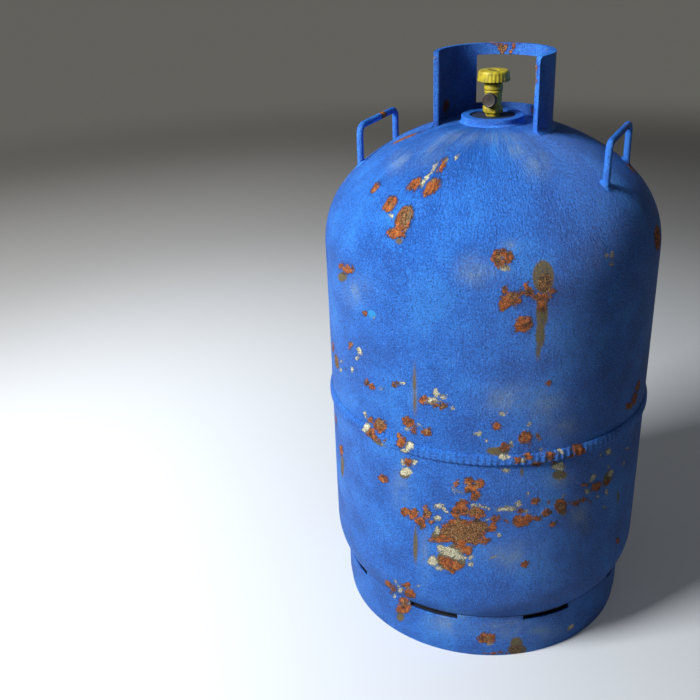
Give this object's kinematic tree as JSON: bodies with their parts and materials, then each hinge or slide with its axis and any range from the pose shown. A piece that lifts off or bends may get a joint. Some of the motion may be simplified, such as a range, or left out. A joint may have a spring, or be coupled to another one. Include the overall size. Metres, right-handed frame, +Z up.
{
  "type": "refillable gas cylinder",
  "caption": "Weathered steel gas cylinder with a rolled valve guard, rod handles, a slotted foot ring and a small handwheel valve.",
  "frame": {"origin": "centre of the plane that the foot ring rests on", "axes": "+Z up along the cylinder's axis, -Y towards the open side of the guard and the valve's outlet, +X to the right handle"},
  "size_m": [0.3234, 0.3234, 0.568],
  "materials": {
    "blue_paint": "glossy blue enamel, chipped and rusted",
    "yellow_paint": "dull yellow coating",
    "brass": "turned",
    "steel": "dull, lightly rusted",
    "rubber": "moulded",
    "nylon": "moulded",
    "cap_plastic": "aged dark brown"
  },
  "bodies": {
    "vessel": {"upper_shell": "blue_paint", "lower_shell": "blue_paint", "girth_weld": "blue_paint", "foot_ring": "blue_paint", "foot_weld": "blue_paint", "neck_ring": "blue_paint", "neck_weld": "blue_paint", "valve_guard": "blue_paint", "guard_weld": "blue_paint", "handle_left": "blue_paint", "handle_weld_left_front": "blue_paint", "handle_weld_left_back": "blue_paint", "handle_right": "blue_paint", "handle_weld_right_front": "blue_paint", "handle_weld_right_back": "blue_paint", "valve_body": "yellow_paint", "gland_nut": "yellow_paint", "thrust_washer": "nylon", "spindle_seal": "rubber"},
    "wheel": {"handwheel": "yellow_paint", "valve_spindle": "brass", "wheel_screw": "steel", "screw_washer": "steel"},
    "plug": {"valve_plug": "brass", "seat_pad": "nylon"},
    "cap": {"outlet_cap": "cap_plastic", "outlet_washer": "rubber"}
  },
  "joints": [
    {"name": "handwheel_turn", "type": "hinge", "parent": "vessel", "child": "wheel", "pos_m": [0, 0, 0.5415], "axis": [0, 0, 1], "range_deg": [0, 900]},
    {"name": "plunger_lift", "type": "slide", "parent": "wheel", "child": "plug", "axis": [0, 0, 1], "range_m": [0, 0.0025]},
    {"name": "cap_pull", "type": "slide", "parent": "vessel", "child": "cap", "axis": [0, -1, 0], "range_m": [0, 0.03]}
  ],
  "couplings": [
    {"joint": "plunger_lift", "follows": "handwheel_turn", "m_per_rad": 0.00015915}
  ]
}
